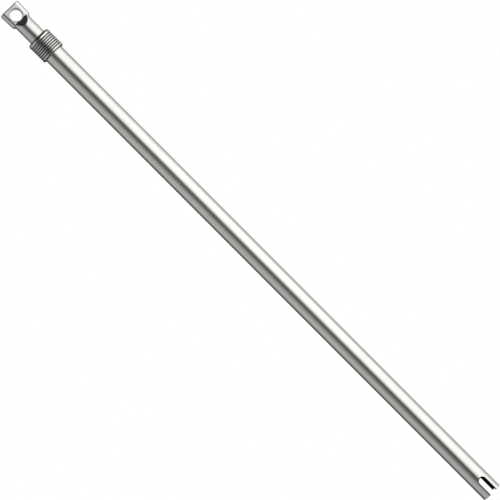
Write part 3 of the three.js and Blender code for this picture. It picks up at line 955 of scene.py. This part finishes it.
def floor():
    """A pale floor under the mouth. Seen edge-on it is plain white, and from below it is clear."""
    bm = bmesh.new()
    bmesh.ops.create_circle(bm, cap_ends=True, segments=SMALL_SIDES, radius=FLOOR_R)
    bmesh.ops.translate(bm, verts=bm.verts, vec=(0, 0, -FLOOR_DROP))
    mesh = bpy.data.meshes.new("floor")
    bm.to_mesh(mesh)
    bm.free()
    obj = link_object("floor", mesh)

    material, tree, place, shader = start_material("floor")
    speckle = span(tree, noise(tree, place, 300.0), 0.97, 1.03)
    tree.links.new(tinted(tree, (0.84, 0.84, 0.83), speckle), shader.inputs["Base Color"])
    shader.inputs["Roughness"].default_value = 0.9
    geometry = add(tree, "NewGeometry").outputs
    slant = calculate(tree, "DOT_PRODUCT", geometry["Incoming"], geometry["True Normal"], kind="VectorMath")
    distance = calculate(tree, "LENGTH", place, kind="VectorMath")
    edge_on = span(tree, slant, 1.0, 0.0, FLOOR_LOW_SLANT, FLOOR_HIGH_SLANT)
    far = span(tree, distance, 0.0, 1.0, FLOOR_NEAR, FLOOR_FAR)
    white = calculate(tree, "MULTIPLY", add(tree, "LightPath").outputs["Is Camera Ray"],
                      calculate(tree, "MAXIMUM", edge_on, far))
    glow = add(tree, "Emission", Color=(1, 1, 1, 1)).outputs["Emission"]
    clear = add(tree, "BsdfTransparent").outputs["BSDF"]
    lit = either(tree, white, shader.outputs["BSDF"], glow)
    shown = either(tree, geometry["Backfacing"], lit, clear)
    tree.links.new(shown, tree.nodes["Material Output"].inputs["Surface"])
    mesh.materials.append(material)
    obj.visible_glossy = False


def softbox(name, place, size, power):
    """A square light, sized in metres, that aims at the tool's middle. Steel doesn't mirror it."""
    data = bpy.data.lights.new(name, "AREA")
    data.shape = "SQUARE"
    data.size = size
    data.energy = power
    obj = link_object(name, data)
    aim = Vector((0, 0, EYE_TOP * MM / 2)) - Vector(place)
    obj.matrix_world = Matrix.Translation(place) @ aim.to_track_quat("-Z", "Y").to_matrix().to_4x4()
    obj.visible_glossy = False


def camera():
    """The camera, rolled so that the tool lies across the picture from corner to corner."""
    data = bpy.data.cameras.new("camera")
    data.sensor_width = SENSOR
    data.lens = SENSOR * CAMERA_DISTANCE / FRAME_WIDTH
    data.clip_end = 20
    obj = link_object("camera", data)
    across = RIGHT * math.sin(CAMERA_ROLL) - UP * math.cos(CAMERA_ROLL)
    above = UP * math.sin(CAMERA_ROLL) + RIGHT * math.cos(CAMERA_ROLL)
    target = UP * (CAMERA_TARGET_Z * MM) + RIGHT * (CAMERA_TARGET_ASIDE * MM)
    turn = Matrix((across, above, BACK)).transposed().to_4x4()
    obj.matrix_world = Matrix.Translation(target + BACK * CAMERA_DISTANCE) @ turn
    bpy.context.scene.camera = obj


# ---------------------------------------------------------------- the model

LENGTHWAYS = (1, 1, 0.01)
ROUNDWAYS = (0.03, 0.03, 1)
FINISHES = {
    # The tube's bore is near black, and its slot edges and mouth end are darker: painted shade
    "tube_steel": steel("tube_steel", (0.80, 0.81, 0.77), 0.16, LENGTHWAYS, 2600.0, mottle=0.08,
                        darkened_within=BORE_R + 0.3, dark_color=(0.05, 0.05, 0.05), shaded_edges=True),
    "collar_steel": steel("collar_steel", (0.81, 0.80, 0.78), 0.12, ROUNDWAYS, 2600.0,
                          darkened_within=COLLAR_R - 0.45, dark_color=(0.26, 0.24, 0.23)),
    # Forged steel's convex edges are darker by half: painted shade along the eye's edges
    "forged_steel": steel("forged_steel", (0.80, 0.81, 0.78), 0.20, (1, 1, 1), 900.0,
                          mottle=0.07, wear_and_edge_shade=-0.5),
    "inner_steel": steel("inner_steel", (0.50, 0.51, 0.52), 0.30, (1, 1, 0.05), 1800.0, mottle=0.10),
    "spring_steel": steel("spring_steel", (0.30, 0.31, 0.33), 0.32, (0.3, 0.3, 1), 1500.0, mottle=0.15),
    "black_rubber": rubber("black_rubber"),
    "pale_acetal": acetal("pale_acetal"),
}

# Each body's pieces, by the CAD node that they stand for
PIECES = {
    "barrel": {
        "barrel_tube": (steel_tube(), "tube_steel"),
        "top_collar": (ribbed_collar(), "collar_steel"),
        "guide_bush": (top_bush(), "pale_acetal"),
        "wiper_ring": (dust_wiper(), "black_rubber"),
        "lower_guide": (keyed_guide(), "pale_acetal"),
        "guide_ring_lower": (open_ring("snap_ring_lower", "guide_ring_lower", *GUIDE_RING), "spring_steel"),
        "guide_ring_upper": (open_ring("snap_ring_upper", "guide_ring_upper", *GUIDE_RING), "spring_steel"),
        "return_spring": (coil_spring(), "spring_steel"),
    },
    "plunger": {
        "eye_shank": (forged_eye(), "forged_steel"),
        "shank_pin": (cross_pin("shank_cross_pin", SHANK_PIN_LOW, SHANK_PIN_HIGH), "inner_steel"),
        "push_rod": (square_rod(), "inner_steel"),
        "spring_washer": (thrust_washer(), "inner_steel"),
        "rod_clip": (open_ring("rod_snap_clip", "rod_clip", *ROD_CLIP), "spring_steel"),
        "stop_buffer": (rubber_buffer(), "black_rubber"),
        "ejector_foot": (push_foot(), "inner_steel"),
        "foot_seal": (ring_seal(), "black_rubber"),
        "foot_pin": (cross_pin("foot_cross_pin", FOOT_PIN_LOW, FOOT_PIN_HIGH), "inner_steel"),
    },
}

for body, pieces in PIECES.items():
    for node, (piece, finish) in pieces.items():
        piece.data.materials.clear()
        piece.data.materials.append(FINISHES[finish])
        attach(piece, body)
        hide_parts(node)

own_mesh(PIECES["barrel"]["return_spring"][0])

studio()
floor()
softbox("key", place=(0.9, -1.3, 2.2), size=1.2, power=30)
softbox("fill", place=(-1.6, 0.9, 1.6), size=1.6, power=14)
camera()
bpy.context.scene.view_settings.view_transform = "Standard"
